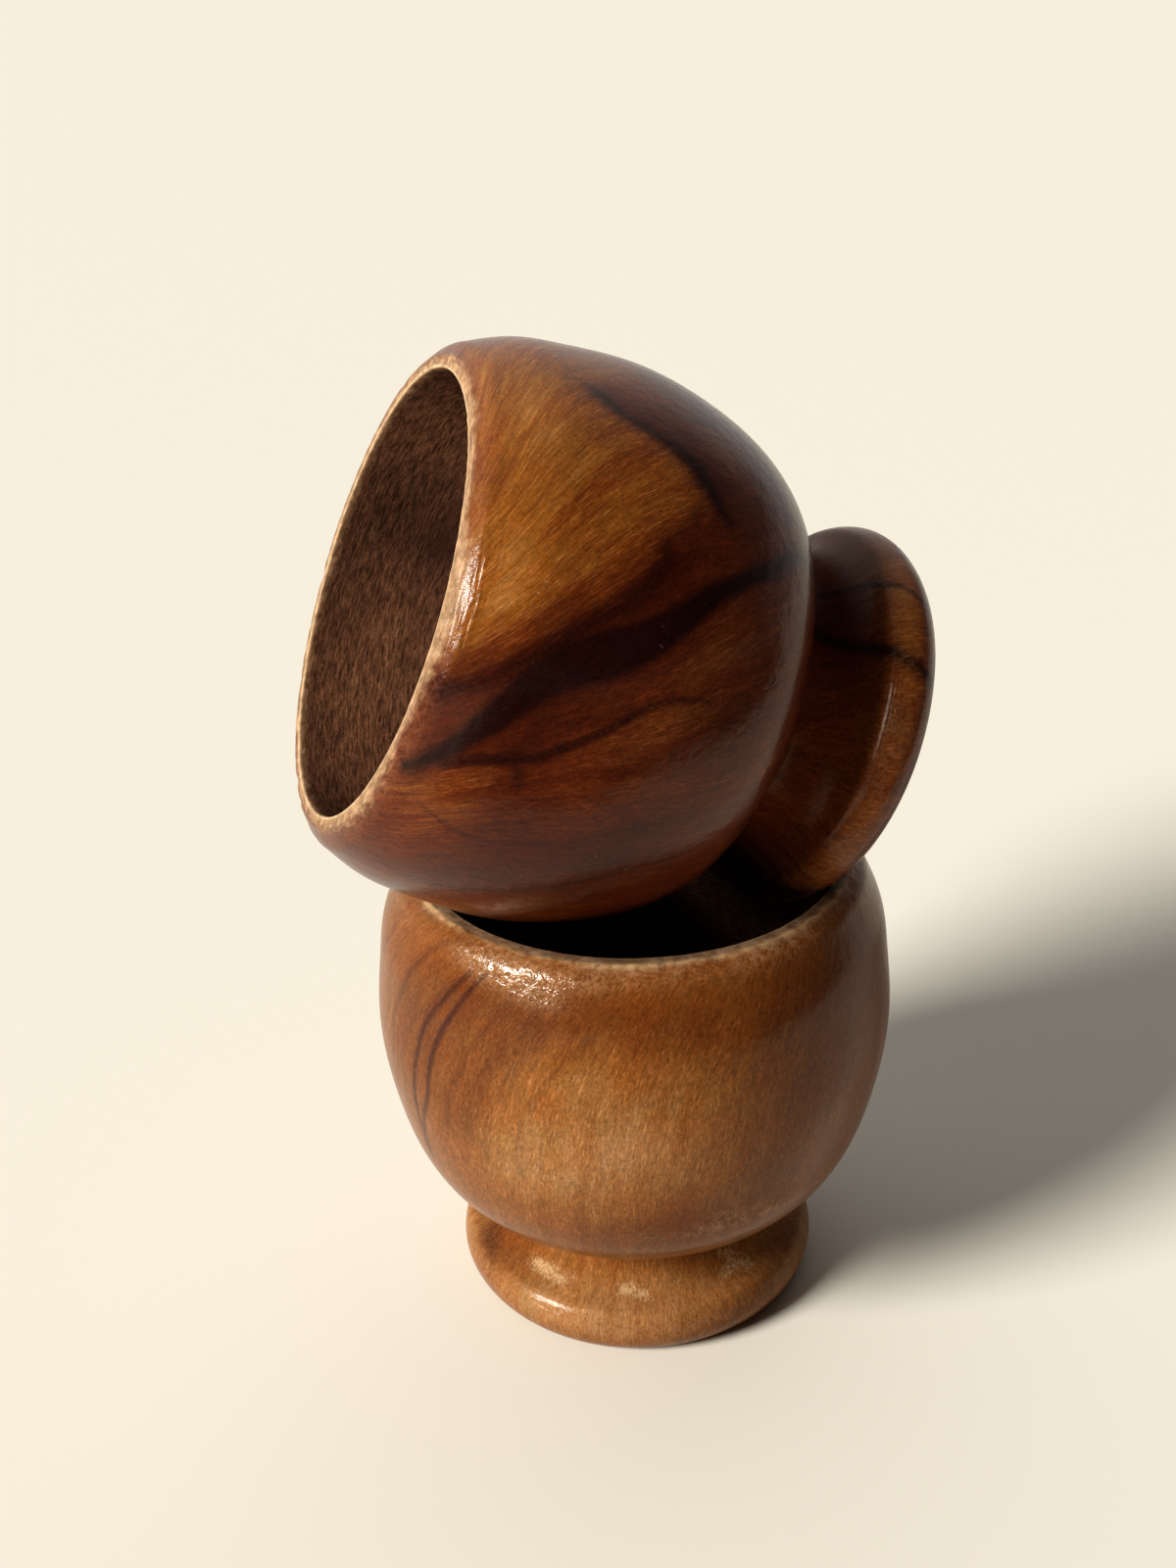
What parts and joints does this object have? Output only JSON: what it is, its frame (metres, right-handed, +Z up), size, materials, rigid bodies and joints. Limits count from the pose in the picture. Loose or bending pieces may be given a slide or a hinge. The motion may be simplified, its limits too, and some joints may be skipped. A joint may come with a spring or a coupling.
{
  "type": "egg cup pair",
  "caption": "Turned wooden egg cups with round bowls, thin lips and rounded feet, stacked with a cup lying on its side across the mouth of the other; each holds a boiled egg.",
  "frame": {"origin": "centre of the lower cup's flat base, on the surface it stands on", "axes": "+Z up along the lower cup's axis; +Y away from the viewer of the picture and +X to the viewer's right, so the upper cup's mouth points to -X and its foot to +X"},
  "size_m": [0.0618, 0.0566, 0.1011],
  "materials": {
    "lower_wood": "satin varnish, worn at the lip",
    "upper_wood": "satin varnish, dark streaked figure"
  },
  "bodies": {
    "lower_cup": {"lower_egg_cup": "lower_wood"},
    "upper_cup": {"upper_egg_cup": "upper_wood"}
  },
  "joints": [
    {"name": "lift_off", "type": "slide", "parent": "lower_cup", "child": "upper_cup", "axis": [0, 0, 1], "range_m": [0, 0.06]}
  ]
}
